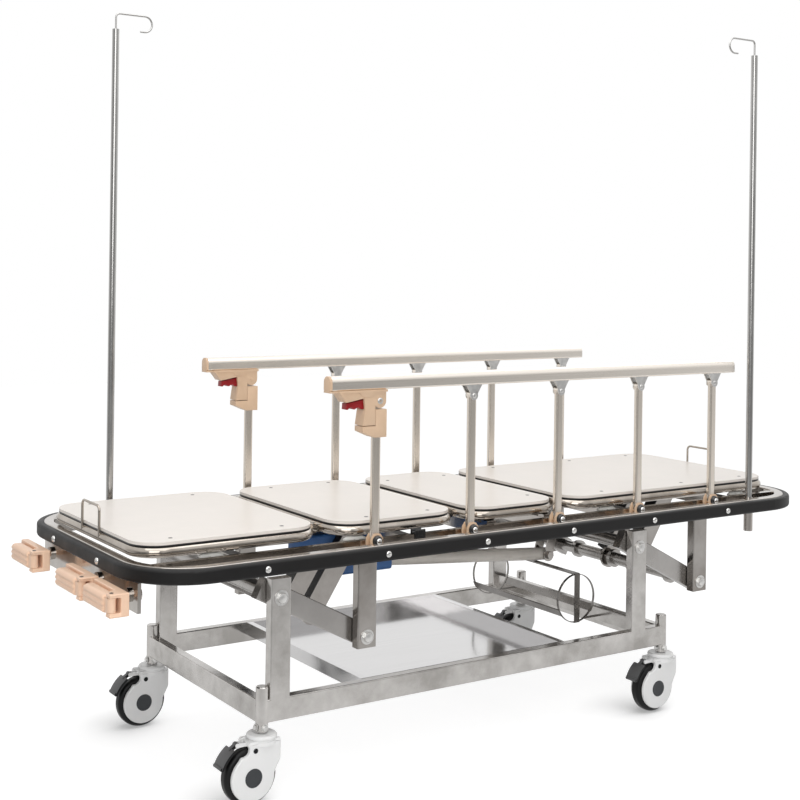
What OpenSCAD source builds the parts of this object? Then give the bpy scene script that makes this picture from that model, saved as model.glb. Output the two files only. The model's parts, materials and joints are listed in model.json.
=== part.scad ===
// Crank-operated emergency bed on four casters: welded base, swinging
// lift arms, bumpered deck, four hinged boards, folding side rails, poles.
// X runs from the crank end (foot) to the head end, Z is up, millimetres.

/* [Deck] */
// Width of the deck over its bumper
deck_width = 760; // [740:1:780]
// Height of the deck tubes' undersides, lift at its lowest
deck_z = 506; // [500:1:520]
// Height of the deck tubes
tube_h = 34; // [32:1:36]
// Width of the outer deck tube
tube_w = 25; // [22:1:28]
// Outer radius of the deck's corners
corner_r = 160; // [140:1:175]
// Thickness of the rubber bumper band
bumper_t = 16; // [14:1:18]
// Height of the rubber bumper band
bumper_h = 32; // [26:1:33]
// Where the deck's middle lies along X
deck_middle = 26; // [20:1:32]

/* [Boards] */
// Free gap between a board's edge and the deck's side bar
board_side_gap = 17; // [15:1:29]
// Thickness of a board
board_t = 10; // [8:1:14]
// Corner radius of a board
board_r = 65; // [50:1:75]
// Diameter of the bent tube under each board
loop_d = 24; // [22:1:25]
// Free gap between two boards
board_gap = 44; // [43:1:48]
// Length of the calf board
calf_len = 438; // [420:1:450]
// Length of the thigh board
thigh_len = 342; // [330:1:350]
// Length of the seat board
seat_len = 274; // [262:1:286]
// Length of the back board
back_len = 737; // [710:1:750]
// From the bumper's foot face to the calf board
foot_margin = 40; // [38:1:60]
// From the back board to the bumper's head face
head_margin = 49; // [44:1:60]

/* [Base] */
// Distance between the caster stems along X
wheelbase = 1200; // [1180:1:1220]
// Where the base's middle lies along X
base_middle = -61; // [-70:1:-50]
// Underside of the base tubes
base_z = 170; // [166:1:174]
// Height of the base tubes
base_tube_h = 50; // [45:1:52]
// Width of the base tubes, posts and hangers
base_tube_w = 25; // [24:1:26]
// Outer diameter of the stem sleeves
stem_d = 28; // [26:1:32]

/* [Lift] */
// Length of a lift arm between its pivots
arm_len = 252; // [246:1:258]
// Drop angle of the arms with the lift at its lowest
arm_drop = 27.4; // [26:0.1:29]
// Height of the post pivots
post_pivot_z = 437; // [434:1:440]
// X of the foot posts
foot_post_x = -623; // [-628:1:-616]
// X of the head posts
head_post_x = 447; // [444:1:452]
// Diameter of the pivot bolts
pivot_d = 14; // [12:1:16]

/* [Side rails] */
// X of the post nearest the foot end
first_post_x = -387; // [-392:1:-380]
// Distance between rail posts
post_pitch = 272; // [268:1:275]
// Distance from a post's lower pivot to its upper one
post_len = 316; // [306:1:322]
// Height of the lower pivots
rail_pivot_z = 540; // [538:1:543]
// Free gap between the outer deck tube and a rail post's middle
rail_inset = 34.5; // [34:0.1:35]
// Height of the rail's top bar
bar_h = 33; // [30:1:36]

/* [Casters] */
// Wheel diameter
wheel_d = 125; // [120:1:125]
// Wheel width
wheel_w = 30; // [26:1:30]
// Trail of the axle behind the swivel pin
trail = 31; // [29:1:33]

/* [Cranks] */
// Length of a crank arm
crank_len = 150; // [140:1:152]
// Height of the crank shafts
crank_z = 474; // [470:1:478]
// Y of the backrest crank
crank_back_y = 205; // [195:1:215]
// Y of the lift crank
crank_lift_y = -88; // [-90:1:-80]
// Y of the knee crank
crank_knee_y = -250; // [-255:1:-248]

/* [Poles and bottle] */
// Diameter of the drip poles
pole_d = 18; // [16:1:19]
// Height of the drip poles' tops
pole_top = 1745; // [1600:1:1800]
// Distance of each pole from the deck's middle along X
pole_x = 786; // [770:1:795]
// Inner diameter of the bottle rings
ring_d = 124; // [116:1:124]

/* [Hidden] */
$fn = 48;
run = 0.05;
e = 0.01;
boards_long = calf_len + thigh_len + seat_len + back_len + 3 * board_gap;
deck_length = foot_margin + boards_long + head_margin;
deck_foot = deck_middle - deck_length / 2;
deck_head = deck_middle + deck_length / 2;
deck_top = deck_z + tube_h;
rest_gap = 3;
loop_z = deck_top + rest_gap + loop_d / 2;
board_z = loop_z + loop_d / 2;
loop_in = loop_d / 2 - 6;
outer_in = bumper_t + tube_w;
rail_y = deck_width / 2 - outer_in - rail_inset;
side_bar_w = 15;
side_bar_y = rail_y - 10.5 - side_bar_w / 2;
board_half = side_bar_y - side_bar_w / 2 - board_side_gap;
loop_y = board_half - loop_in;
loop_r = board_r - loop_in;
calf_x = [deck_foot + foot_margin, deck_foot + foot_margin + calf_len];
thigh_x = [calf_x[1] + board_gap, calf_x[1] + board_gap + thigh_len];
seat_x = [thigh_x[1] + board_gap, thigh_x[1] + board_gap + seat_len];
back_x = [seat_x[1] + board_gap, seat_x[1] + board_gap + back_len];
knee_axis_x = (calf_x[1] + thigh_x[0]) / 2;
hip_axis_x = (thigh_x[1] + seat_x[0]) / 2;
back_axis_x = (seat_x[1] + back_x[0]) / 2;
knuckle_y = loop_y - loop_r - 17;
knuckle_r = 11;
knuckle_pin_d = 10;
post_y = side_bar_y + 0.5;
arm_t = base_tube_w;
arm_y = post_y - base_tube_w / 2 - 1 - arm_t / 2;
arm_dx = arm_len * cos(arm_drop);
arm_dz = arm_len * sin(arm_drop);
hanger_z = post_pivot_z - arm_dz;
hanger_xs = [foot_post_x + arm_dx, head_post_x + arm_dx];
post_xs = [foot_post_x, head_post_x];
torque_r = 17;
brace_tilt = 57;
brace_run = (deck_z - hanger_z) / tan(brace_tilt);
cross_w = 30;
cross_h = 30;
seat_cross = [seat_x[0] + 52, seat_x[1] - 42];
pole_y = deck_width / 2 - outer_in;
sleeve_d = pole_d + 6;
base_top = base_z + base_tube_h;
axle_z = wheel_d / 2;
caster_xs = [base_middle - wheelbase / 2, base_middle + wheelbase / 2];
sleeve_base = 151;
sleeve_over = 28;
sleeve_h = base_top + sleeve_over - sleeve_base;
tube_round = 3;
cap_top = 148.5;
swivel_d = 12;
axle_d = 10;
bottle_x = head_post_x - base_tube_w - ring_d / 2 - 8;
bottle_z = base_top + ring_d / 2 + 4;
ring_t = 2;
ring_w = 6;
ring_ys = [-161, 198];
bar_z = rail_pivot_z + post_len + 42;
bar_w = 28;
post_w = 22;
post_t = 14;
post_round = 5;
rail_pin_d = 8;
trigger_x = first_post_x - 31;
trigger_z = bar_z - 43;
trigger_pin_d = 5;
crank_gap = 8;
crank_t = 18;
grip_t = 26;
crank_x = deck_foot - crank_gap;
crank_front = crank_x - crank_t;
grip_pin_x = crank_front - 2 - grip_t / 2 - 1;
crank_h = 48;
crank_lip = 4;
shaft_d = 14;
grip_pin_y = -(crank_len / 2 - 13);
grip_pin_d = 8;
plate_x = deck_foot + bumper_t + 6;
drive_y = 0;
drive_r = 17;
drive_tilt = 4.6;
drive_back = 71;
drive_drop = 66;
drive_run = 471;
drive_end_x = head_post_x - drive_back;
drive_end_z = post_pivot_z - drive_drop;
drive_start_x = foot_post_x + drive_run;
drive_start_z = drive_end_z + (drive_end_x - drive_start_x) * tan(drive_tilt);
cover_len = 150;
cover_half = 34;
cover_drop = 20;
cover_top = deck_z - 2;
motor_len = 118;
screw_h = 3;
bracket_tilt = 75;
tray_runs = [337, 272];
tray_x = [base_middle - tray_runs[0], base_middle + tray_runs[1]];
tray_half = post_y - base_tube_w / 2;
tray_floor = base_z + 18;
cheek_in = wheel_w / 2 + 1.5;
cheek_out = cheek_in + 8;
lobe_r = wheel_d / 2 - 11;
roof_z = wheel_d + 3;
pedal_x = -trail - 31;
collar_r = 34;
collar_h = cap_top - roof_z - 10;
pedal_z = roof_z + 4;
bracket_rise = deck_z + 6 - drive_end_z;
bracket_top_x = drive_end_x + bracket_rise / tan(bracket_tilt);
cross_xs = [deck_foot + 260, hanger_xs[0] + brace_run, seat_cross[0], seat_cross[1],
  bracket_top_x, hanger_xs[1] + brace_run];
screw_xs = [-728, -424, -146, 119, 391, 660];
pad_runs = [165, 48, 120, 130];
pad_r = 7;
pad_half = 30;
pad_clear = cross_w / 2 + pad_half + 2.5;
pad_xs = [calf_x[0] + pad_runs[0],
  min(thigh_x[0] + pad_runs[1], cross_xs[1] - pad_clear),
  min(back_x[0] + pad_runs[2], cross_xs[4] - pad_clear),
  max(back_x[1] - pad_runs[3], cross_xs[5] + pad_clear)];
crank_ys = [crank_back_y, crank_lift_y, crank_knee_y];
post_top_z = rail_pivot_z + post_len;
latch_half = 17;
foot_back = rail_y - side_bar_y - side_bar_w / 2;

// Shared shapes

module box(x, y, z) {
  translate([x[0], y[0], z[0]]) cube([x[1] - x[0], y[1] - y[0], z[1] - z[0]]);
}

module both_sides() {
  children();
  mirror([0, 1, 0]) children();
}

module rod_x(x, y, z, r) {
  translate([x[0], y, z]) rotate([0, 90, 0]) cylinder(r = r, h = x[1] - x[0]);
}

module rod_y(x, y, z, r) {
  translate([x, y[0], z]) rotate([-90, 0, 0]) cylinder(r = r, h = y[1] - y[0]);
}

module rod_z(x, y, z, r) {
  translate([x, y, z[0]]) cylinder(r = r, h = z[1] - z[0]);
}

module hex_y(x, y, z, r) {
  translate([x, y[0], z]) rotate([-90, 0, 0]) cylinder(r = r, h = y[1] - y[0], $fn = 6);
}

// Flat shape with four equal round corners
module round_rect(x, half, r) {
  middle = (x[0] + x[1]) / 2;
  long = x[1] - x[0];
  translate([middle, 0]) {
    square([long - 2 * r, 2 * half], center = true);
    square([long, 2 * half - 2 * r], center = true);
    for (sx = [-1, 1], sy = [-1, 1])
      translate([sx * (long / 2 - r), sy * (half - r)]) circle(r = r, $fn = 96);
  }
}

// Square tubes with rolled corners, lying along X, along Y or upright
module tube_x(x, y, z, r) {
  translate([x[0], (y[0] + y[1]) / 2, 0]) rotate([90, 0, 90]) linear_extrude(x[1] - x[0])
    translate([0, (z[0] + z[1]) / 2]) rotate(90)
    round_rect([(z[0] - z[1]) / 2, (z[1] - z[0]) / 2], (y[1] - y[0]) / 2, r);
}

module tube_y(x, y, z, r) {
  translate([0, y[1], (z[0] + z[1]) / 2]) rotate([90, 0, 0]) linear_extrude(y[1] - y[0])
    round_rect(x, (z[1] - z[0]) / 2, r);
}

module tube_z(x, y, z, r) {
  translate([0, (y[0] + y[1]) / 2, z[0]]) linear_extrude(z[1] - z[0])
    round_rect(x, (y[1] - y[0]) / 2, r);
}

// Section run once round the deck; its X is measured from the corners' middles
module deck_sweep() {
  mx = deck_length / 2 - corner_r;
  my = deck_width / 2 - corner_r;
  translate([deck_middle, 0, 0]) for (s = [-1, 1]) {
    mirror([0, s > 0 ? 0 : 1, 0]) translate([-mx, my, 0]) rotate([90, 0, 90])
      linear_extrude(2 * mx) children();
    mirror([s > 0 ? 0 : 1, 0, 0]) translate([mx, my, 0]) rotate([90, 0, 0])
      linear_extrude(2 * my) children();
    for (t = [-1, 1]) translate([s * mx, t * my, 0])
      rotate([0, 0, s > 0 ? (t > 0 ? 0 : 270) : (t > 0 ? 90 : 180)])
      rotate_extrude(angle = 90, $fn = 96) children();
  }
}

// Side view shape (X, Z) pushed out along Y
module side_shape(y) {
  translate([0, y[1], 0]) rotate([90, 0, 0]) linear_extrude(y[1] - y[0]) children();
}

// Base

module base_frame() {
  wall = tube_round;
  tube_ys = [-post_y - base_tube_w / 2, -post_y + base_tube_w / 2];
  color("silver") difference() {
    union() {
      both_sides() tube_x(caster_xs, tube_ys, [base_z, base_top], wall);
      for (x = caster_xs) {
        tube_y([x - base_tube_w / 2, x + base_tube_w / 2], [-post_y, post_y], [base_z, base_top], wall);
        both_sides() translate([x, -post_y, sleeve_base]) rotate_extrude()
          polygon([[0, 0], [stem_d / 2, 0], [stem_d / 2, sleeve_h - 2], [stem_d / 2 - 2, sleeve_h],
            [0, sleeve_h]]);
      }
      for (x = post_xs) both_sides() {
        tube_z([x - 25, x + 25], tube_ys, [base_top - 10, post_pivot_z + 42], wall);
        rod_y(x, [-post_y, -arm_y + arm_t / 2 + 10], post_pivot_z, pivot_d / 2);
        hex_y(x, [-post_y - base_tube_w / 2 - 8, -post_y], post_pivot_z, 12);
      }
      tube_y([head_post_x - base_tube_w / 2, head_post_x + base_tube_w / 2],
        [-post_y, post_y], [base_top - 6, base_top + 32], wall);
    }
    for (x = caster_xs) both_sides()
      rod_z(x, -post_y, [sleeve_base - 1, base_top - 2], swivel_d / 2 + run);
  }
}

// Folded sheet tray with a turned-in lip at its two ends
module base_tray() {
  lip = 16;
  color("lightgray") difference() {
    box(tray_x, [-tray_half, tray_half], [tray_floor, base_top]);
    box([tray_x[0] + 2, tray_x[1] - 2], [-tray_half + 2, tray_half - 2],
        [tray_floor + 2, base_top - 2]);
    box([tray_x[0] + lip, tray_x[1] - lip], [-tray_half + 2, tray_half - 2],
        [tray_floor + 3, base_top + 1]);
  }
}

module bottle_holder() {
  strip_r = ring_d / 2 + ring_t;
  ends = [ring_ys[0] - ring_w / 2, ring_ys[1] + ring_w / 2];
  stop_y = ends[0] - 1;
  color("silver") {
    difference() {
      union() {
        for (y = ring_ys) {
          rod_y(bottle_x, [y - ring_w / 2, y + ring_w / 2], bottle_z, strip_r);
          box([bottle_x, head_post_x - base_tube_w / 2], [y - ring_w / 2, y + ring_w / 2],
              [base_top + 8, base_top + 12]);
        }
        for (a = [90, 210, 330]) translate([bottle_x, 0, bottle_z]) rotate([0, -a, 0])
          box([ring_d / 2 + 1, strip_r + 2], ends, [-10, 10]);
      }
      rod_y(bottle_x, [ends[0] - 1, ends[1] + 1], bottle_z, ring_d / 2);
    }
    box([bottle_x - 9, bottle_x + 9], [stop_y - 2, stop_y],
        [bottle_z - strip_r + 0.3, bottle_z + strip_r + 1]);
    box([bottle_x - 9, bottle_x + 9], [stop_y - 2, ring_ys[0]],
        [bottle_z - strip_r + 0.3, bottle_z - ring_d / 2 - 0.9]);
    box([bottle_x - 9, bottle_x + 9], [stop_y - 2, ring_ys[0]],
        [bottle_z + ring_d / 2 + 1.3, bottle_z + strip_r + 1]);
  }
}

// Casters

module caster_at(i) {
  x = caster_xs[i < 2 ? 0 : 1];
  y = (i % 2 == 0 ? -1 : 1) * post_y;
  translate([x, y, 0]) children();
}

// Moulded caster shell: domed cheeks, waisted neck, collar with a round rim
module fork() {
  neck_x = [-trail - 10, 34];
  dome = 4;
  color("white") difference() {
    union() {
      both_sides() {
        translate([-trail, -cheek_in, axle_z]) rotate([90, 0, 0]) rotate_extrude($fn = 96) {
          square([lobe_r, cheek_out - cheek_in - dome]);
          square([lobe_r - dome, cheek_out - cheek_in]);
          translate([lobe_r - dome, cheek_out - cheek_in - dome]) circle(r = dome);
        }
        side_shape([-cheek_out + 1, -cheek_in]) difference() {
          polygon([[neck_x[0], roof_z + 11], [neck_x[1], roof_z + 11], [neck_x[1], roof_z - 34],
            [neck_x[1] - 18, axle_z - 4], [-trail, axle_z], [-trail - 30, axle_z + 35],
            [neck_x[0] - 12, roof_z - 16], [neck_x[0] - 8, roof_z]]);
          translate([neck_x[0] - 13.6, roof_z - 5]) circle(r = 14);
        }
      }
      box(neck_x, [-cheek_out + 1, cheek_out - 1], [roof_z, roof_z + 8]);
      translate([0, 0, roof_z]) rotate_extrude() {
        square([33, 8]);
        square([31, 12]);
        translate([0, 10]) square([collar_r - collar_h / 2, collar_h]);
        translate([collar_r - collar_h / 2, 10 + collar_h / 2]) circle(r = collar_h / 2);
      }
      rod_z(0, 0, [roof_z + 5, base_top - 6], swivel_d / 2);
      for (y = [-9, 6]) {
        box([pedal_x, -trail], [y, y + 3], [roof_z, roof_z + 8]);
        rod_y(pedal_x, [y, y + 3], pedal_z, 5);
      }
      rod_y(pedal_x, [-9, 9], pedal_z, 2.5);
    }
    rod_y(-trail, [-cheek_out - 1, cheek_out + 1], axle_z, axle_d / 2 + run);
    rod_y(-trail, [-cheek_in, cheek_in], axle_z, wheel_d / 2 + 1.5);
    both_sides() {
      rod_y(-trail, [-cheek_out - 1, -cheek_out + 0.8], axle_z, 18);
      rod_y(-12, [-cheek_out - 1, -cheek_in - 2], roof_z - 22, 3.5);
    }
  }
}

module wheel() {
  shoulder = 10;
  half = wheel_w / 2;
  color("dimgray") translate([-trail, 0, axle_z]) {
    rotate([-90, 0, 0]) rotate_extrude($fn = 96) {
      translate([0, -half]) square([wheel_d / 2 - shoulder, wheel_w]);
      translate([0, shoulder - half]) square([wheel_d / 2, wheel_w - 2 * shoulder]);
      for (z = [shoulder - half, half - shoulder])
        translate([wheel_d / 2 - shoulder, z]) circle(r = shoulder);
    }
    rod_y(0, [-cheek_out + 1, cheek_out - 1], 0, axle_d / 2);
  }
}

// T-shaped brake pedal whose pad follows the tyre
module brake() {
  mid = sqrt(pow(pedal_x + trail, 2) + pow(pedal_z - axle_z, 2));
  start = atan2(pedal_z - axle_z, pedal_x + trail);
  color("dimgray") difference() {
    union() {
      translate([-trail, 0, axle_z]) rotate([90, 0, 0]) {
        rotate([0, 0, start]) rotate_extrude(angle = 15, $fn = 96)
          translate([mid - 3.5, -5.5]) square([7, 11]);
        rotate([0, 0, start + 10]) rotate_extrude(angle = 36, $fn = 96)
          translate([mid - 2.5, -20]) square([5, 40]);
        rotate([0, 0, start + 44]) translate([mid + 1.5, 0, -18]) cylinder(r = 4.2, h = 36);
      }
      rod_y(pedal_x, [-5.5, 5.5], pedal_z, 6);
    }
    rod_y(pedal_x, [-21, 21], pedal_z, 2.5 + run);
  }
}

// Lift

module lift_arms(i) {
  color("silver") difference() {
    union() {
      translate([post_xs[i], 0, post_pivot_z]) rotate([0, arm_drop, 0]) both_sides()
        tube_x([-42, arm_len + 25], [-arm_y - arm_t / 2, -arm_y + arm_t / 2], [-25, 25], tube_round);
      rod_y(post_xs[i], [-arm_y, arm_y], post_pivot_z, torque_r);
      rod_y(hanger_xs[i], [-arm_y, arm_y], hanger_z, torque_r);
      for (y = [-190, 30, 180]) rod_y(hanger_xs[i], [y - 6, y + 6], hanger_z, torque_r + 8);
    }
    both_sides() {
      rod_y(post_xs[i], [-arm_y - arm_t, -arm_y + arm_t / 2 + 12], post_pivot_z, pivot_d / 2 + run);
      rod_y(hanger_xs[i], [-arm_y - arm_t, -arm_y + arm_t / 2 + 12], hanger_z, pivot_d / 2 + run);
    }
  }
}

// Deck

module deck_frame() {
  color("silver") difference() {
    union() {
      deck_sweep() translate([0, deck_z + tube_h / 2])
        round_rect([corner_r - outer_in, corner_r - bumper_t], tube_h / 2, 4);
      both_sides() box([deck_foot + outer_in + 6, deck_head - outer_in - 6],
        [-side_bar_y - side_bar_w / 2, -side_bar_y + side_bar_w / 2], [deck_z, deck_top - 1]);
      for (x = cross_xs) box([x - cross_w / 2, x + cross_w / 2],
        [-side_bar_y, side_bar_y], [deck_z, deck_z + cross_h]);
      for (x = seat_cross) both_sides() box([x - 14, x + 14], [-loop_y - 11, -loop_y + 11],
        [deck_z + cross_h - 4, deck_top + rest_gap - 0.2]);
      for (s = [-1, 1])
        rod_z(deck_middle - s * pole_x, s * pole_y, [deck_z - 54, deck_top + 2], sleeve_d / 2);
    }
    for (s = [-1, 1])
      rod_z(deck_middle - s * pole_x, s * pole_y, [deck_z - 48, deck_top + 3], pole_d / 2 + run);
  }
}

// Flat bar from an eye at a pivot up to the deck's underside
module strut(x, z, tilt, r, y) {
  long = (deck_z - z) / sin(tilt) + r;
  side_shape(y) difference() {
    union() {
      translate([x, z]) circle(r = r);
      translate([x, z]) rotate(tilt) translate([0, 3 - r]) square([long, 2 * r - 6]);
    }
    translate([x - 300, deck_z]) square([600, 100]);
  }
}

module hangers() {
  foot_cross = hanger_xs[0] + brace_run;
  color("silver") {
    for (x = hanger_xs) {
      both_sides() {
        tube_z([x - 25, x + 25], [-post_y - base_tube_w / 2, -post_y + base_tube_w / 2],
          [hanger_z - 25, deck_z], tube_round);
        rod_y(x, [-post_y, -arm_y + arm_t / 2 + 10], hanger_z, pivot_d / 2);
        hex_y(x, [-post_y - base_tube_w / 2 - 8, -post_y], hanger_z, 12);
      }
      difference() {
        for (y = [-56, 48]) strut(x, hanger_z, brace_tilt, 30, [y, y + 8]);
        rod_y(x, [-60, 60], hanger_z, torque_r + run);
      }
    }
    for (y = [drive_y - 24, drive_y + 20])
      strut(drive_end_x, drive_end_z, bracket_tilt, 17, [y, y + 4]);
    rod_y(drive_end_x, [drive_y - 30, drive_y + 30], drive_end_z, 6);
    hex_y(drive_end_x, [drive_y - 32, drive_y - 23], drive_end_z, 11);
    box([foot_cross - 15, foot_cross + 15], [drive_y - 20, drive_y + 20],
        [cover_top, deck_z]);
  }
}

module bumper() {
  lip = 7;
  color("black") deck_sweep() translate([corner_r - bumper_t, deck_z + 1]) {
    square([bumper_t - lip, bumper_h]);
    translate([0, lip]) square([bumper_t, bumper_h - 2 * lip]);
    for (z = [lip, bumper_h - lip]) translate([bumper_t - lip, z]) circle(r = lip);
  }
}

module bumper_screws() {
  z = deck_z + 1 + bumper_h / 2;
  color("silver") {
    for (x = screw_xs) both_sides()
      rod_y(deck_middle + x, [-deck_width / 2 - screw_h, -deck_width / 2], z, 7);
    both_sides() {
      rod_x([deck_foot - screw_h, deck_foot], -131, z, 7);
      rod_x([deck_head, deck_head + screw_h], -131, z, 7);
    }
  }
}

module rest_pads() {
  inner = side_bar_y - side_bar_w / 2;
  color("gainsboro") both_sides() for (x = pad_xs) {
    translate([x, -loop_y, deck_top + rest_gap - 0.4 - pad_r]) rotate([0, 90, 0]) rotate_extrude()
      polygon([[0, -pad_half], [3, -pad_half], [pad_r, 10 - pad_half], [pad_r, pad_half - 10],
        [3, pad_half], [0, pad_half]]);
    box([x - 5, x + 5], [-inner, -loop_y], [deck_top - 10, deck_top - 2]);
  }
}

module crank_plate() {
  color("silver") difference() {
    union() {
      box([plate_x, plate_x + 8], [crank_knee_y - 45, crank_back_y + 45], [crank_z - 30, deck_z]);
      for (y = crank_ys) rod_x([plate_x - 6, plate_x + 24], y, crank_z, shaft_d / 2 + 8);
    }
    for (y = crank_ys) rod_x([plate_x - 7, plate_x + 25], y, crank_z, shaft_d / 2 + run);
  }
}

// Cranks: channel-shaped arm with a shaft behind it and a folding grip in front

// Plan of a crank's flange, deep at the grip's pin and shallow past it
module crank_flange() {
  deep = grip_pin_x - 9;
  half = crank_len / 2;
  turn = 14;
  translate([crank_front, -half]) square([crank_t, crank_len]);
  difference() {
    translate([deep, -half]) square([crank_front - deep + 1, half + grip_pin_y + 9 + turn]);
    translate([deep, grip_pin_y + 9 + turn]) circle(r = turn);
  }
}

module crank(y) {
  half = crank_len / 2;
  color("tan") translate([0, y, crank_z]) {
    rod_x([crank_front + 2, plate_x + 28], 0, 0, shaft_d / 2);
    tube_y([crank_front, crank_x], [-half, half], [-crank_h / 2, crank_h / 2], 3);
    for (z = [-crank_h / 2, crank_h / 2 - crank_lip]) translate([0, 0, z])
      linear_extrude(crank_lip) crank_flange();
    for (z = [-crank_h / 2 + 1, crank_h / 2 - 9])
      box([grip_pin_x - 8, crank_front + 1], [-half + 2, grip_pin_y + 9], [z, z + 8]);
    rod_z(grip_pin_x, grip_pin_y, [-crank_h / 2, crank_h / 2], grip_pin_d / 2);
  }
}

// Grip with a round end and two long finger grooves
module grip(y) {
  tongue = crank_h / 2 - 9.5;
  half = crank_h / 2 - crank_lip - 0.5;
  start = grip_pin_y + 17;
  end = crank_len / 2 - 4;
  color("tan") translate([0, y, crank_z]) difference() {
    union() {
      intersection() {
        translate([0, 0, -half]) linear_extrude(2 * half) translate([grip_pin_x, 0]) rotate(90)
          round_rect([start, end], grip_t / 2, 9);
        translate([0, end + 1, 0]) rotate([90, 0, 0]) linear_extrude(end - start + 2) difference() {
          translate([grip_pin_x, 0]) round_rect([-grip_t / 2, grip_t / 2], half, 5);
          for (z = [-7, 7]) translate([grip_pin_x - grip_t / 2 - 3.5, z]) circle(r = 5.5);
        }
      }
      box([grip_pin_x - 8, grip_pin_x + 8], [grip_pin_y, start + 6], [-tongue, tongue]);
      rod_z(grip_pin_x, grip_pin_y, [-tongue, tongue], 9);
    }
    rod_z(grip_pin_x, grip_pin_y, [-crank_h, crank_h], grip_pin_d / 2 + run);
  }
}

module drive_tube() {
  end_round = 8;
  long = (drive_end_x - drive_start_x) / cos(drive_tilt) - 2 * drive_r * sin(drive_tilt);
  color("whitesmoke") translate([drive_end_x, drive_y, drive_end_z]) rotate([0, drive_tilt, 0])
    difference() {
      rotate([0, -90, 0]) rotate_extrude() {
        translate([0, end_round - drive_r]) square([drive_r, long + drive_r - end_round]);
        translate([0, -drive_r]) square([drive_r - end_round, long + drive_r]);
        translate([drive_r - end_round, end_round - drive_r]) circle(r = end_round);
      }
      rod_y(0, [-30, 30], 0, 6 + run);
    }
}

module drive_cover() {
  back = drive_start_x - cover_len;
  narrow = cover_half - 6;
  color("steelblue") {
    tube_x([back, drive_start_x], [drive_y - cover_half, drive_y + cover_half],
      [drive_start_z - cover_drop, cover_top], 10);
    tube_x([back - motor_len, back + 15], [drive_y - narrow, drive_y + narrow],
      [cover_top - 58, cover_top - 4], 8);
  }
}

// Boards and the bent tube loops under them

module loop_corner(x, y, a) {
  translate([x, y, loop_z]) rotate([0, 0, a]) rotate_extrude(angle = 90)
    translate([loop_r, 0]) circle(d = loop_d);
}

module tube_loop(span) {
  a = span[0] + loop_in;
  b = span[1] - loop_in;
  both_sides() rod_x([a + loop_r, b - loop_r], -loop_y, loop_z, loop_d / 2);
  for (x = [a, b]) rod_y(x, [-loop_y + loop_r, loop_y - loop_r], loop_z, loop_d / 2);
  loop_corner(a + loop_r, -loop_y + loop_r, 180);
  loop_corner(b - loop_r, -loop_y + loop_r, 270);
  loop_corner(b - loop_r, loop_y - loop_r, 0);
  loop_corner(a + loop_r, loop_y - loop_r, 90);
}

module cross_tube(x) {
  rod_y(x, [-loop_y, loop_y], loop_z, loop_d / 2 - 3);
}

// Two eyes and a pin, reaching from a loop's end tube at x to the axis
module hinge_fork(axis_x, x) {
  both_sides() {
    for (y = [-knuckle_y - 14, -knuckle_y + 8]) {
      rod_y(axis_x, [y, y + 6], loop_z, knuckle_r);
      box([min(axis_x, x), max(axis_x, x)], [y, y + 6], [loop_z - 8, loop_z + 8]);
    }
    rod_y(axis_x, [-knuckle_y - 14, -knuckle_y + 14], loop_z, knuckle_pin_d / 2);
    hex_y(axis_x, [-knuckle_y - 19, -knuckle_y - 13], loop_z, 9);
  }
}

module hinge_tongue(axis_x, x) {
  difference() {
    union() {
      children();
      both_sides() {
        rod_y(axis_x, [-knuckle_y - 7.5, -knuckle_y + 7.5], loop_z, knuckle_r);
        box([min(axis_x, x), max(axis_x, x)], [-knuckle_y - 7.5, -knuckle_y + 7.5],
            [loop_z - 8, loop_z + 8]);
      }
    }
    both_sides() rod_y(axis_x, [-knuckle_y - 8, -knuckle_y + 8], loop_z, knuckle_pin_d / 2 + run);
  }
}

module board(span) {
  translate([0, 0, board_z]) linear_extrude(board_t) round_rect(span, board_half, board_r);
}

// Wire stop that keeps a mattress from sliding off the end
module wire_stop(x) {
  top = board_z + board_t + 47;
  wire = 3;
  for (y = [-50, 50]) rod_z(x, y, [loop_z, top - 12], wire);
  rod_y(x, [-38, 38], top, wire);
  for (s = [-1, 1])
    translate([x, s * 38, top - 12]) rotate([0, -90, 0]) rotate([0, 0, s > 0 ? 0 : -90])
    rotate_extrude(angle = 90) translate([12, 0]) circle(r = wire);
}

module calf_frame() {
  color("silver") {
    hinge_tongue(knee_axis_x, calf_x[1] - loop_in) {
      tube_loop(calf_x);
      cross_tube((calf_x[0] + calf_x[1]) / 2);
    }
    wire_stop(calf_x[0] - 4);
  }
}

module calf_board() {
  color("antiquewhite") board(calf_x);
}

module thigh_frame() {
  color("silver") {
    hinge_tongue(hip_axis_x, thigh_x[1] - loop_in) {
      tube_loop(thigh_x);
      cross_tube((thigh_x[0] + thigh_x[1]) / 2);
    }
    hinge_fork(knee_axis_x, thigh_x[0] + loop_in);
  }
}

module thigh_board() {
  color("antiquewhite") board(thigh_x);
}

module seat_frame() {
  color("silver") {
    tube_loop(seat_x);
    cross_tube((seat_x[0] + seat_x[1]) / 2);
    hinge_fork(hip_axis_x, seat_x[0] + loop_in);
    hinge_fork(back_axis_x, seat_x[1] - loop_in);
  }
}

module seat_board() {
  color("antiquewhite") board(seat_x);
}

module back_frame() {
  color("silver") {
    hinge_tongue(back_axis_x, back_x[0] + loop_in) {
      tube_loop(back_x);
      for (k = [1:3]) cross_tube(back_x[0] + k * back_len / 4);
    }
    wire_stop(back_x[1] + 4);
  }
}

module back_board() {
  color("antiquewhite") board(back_x);
}

// Side rails, drawn for the near side and mirrored for the far one

module rail_side(far) {
  mirror([0, far ? 1 : 0, 0]) translate([0, -rail_y, 0]) children();
}

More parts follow.
